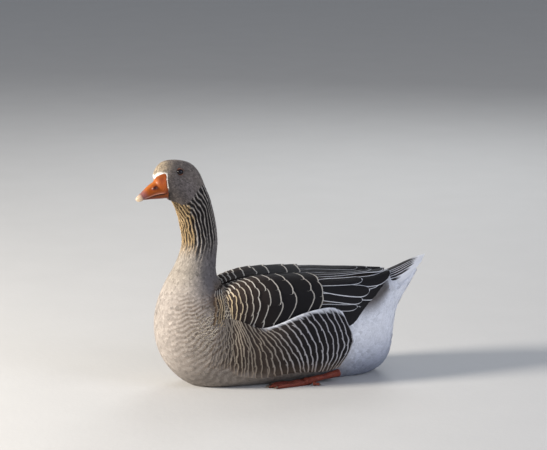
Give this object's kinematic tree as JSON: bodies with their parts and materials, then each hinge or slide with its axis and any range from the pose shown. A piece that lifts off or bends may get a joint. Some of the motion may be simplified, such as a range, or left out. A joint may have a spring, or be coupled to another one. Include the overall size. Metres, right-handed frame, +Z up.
{
  "type": "grey domestic goose",
  "caption": "Life-size grey domestic goose lying on its belly with its neck upright, a still display model with an orange bill.",
  "frame": {"origin": "on the floor, in the middle of the flat under the belly", "axes": "+Z up; -X the way the breast faces; -Y the goose's left side"},
  "size_m": [0.6773, 0.2388, 0.5127],
  "materials": {
    "head_plumage": "close brown-grey feathers",
    "neck_plumage": "furrowed feathers, golden buff in front and dark behind",
    "breast_plumage": "pale beige-grey feathers, white behind the legs",
    "flank_plumage": "dark brown feathers with pale edges",
    "wing_plumage": "near-black brown feathers with white edges",
    "tail_plumage": "dark quills with broad white edges",
    "bill": "orange horn, satin",
    "nail": "cream horn, satin",
    "claw": "dark horn",
    "foot_skin": "scaly orange-red skin",
    "eye": "wet dark brown"
  },
  "bodies": {
    "root": {"bill_lower": "bill", "bill_nail": "nail", "bill_upper": "bill", "claw_left_hind": "claw", "claw_left_inner": "claw", "claw_left_middle": "claw", "claw_left_outer": "claw", "claw_right_hind": "claw", "claw_right_inner": "claw", "claw_right_middle": "claw", "claw_right_outer": "claw", "eye_left": "eye", "eye_right": "eye", "flank_left": "flank_plumage", "flank_right": "flank_plumage", "foot_left": "foot_skin", "foot_right": "foot_skin", "head": "head_plumage", "hind_toe_left": "foot_skin", "hind_toe_right": "foot_skin", "neck_lower": "breast_plumage", "neck_upper": "neck_plumage", "shank_left": "foot_skin", "shank_right": "foot_skin", "tail": "tail_plumage", "trunk": "breast_plumage", "wing_left": "wing_plumage", "wing_right": "wing_plumage"}
  },
  "joints": []
}
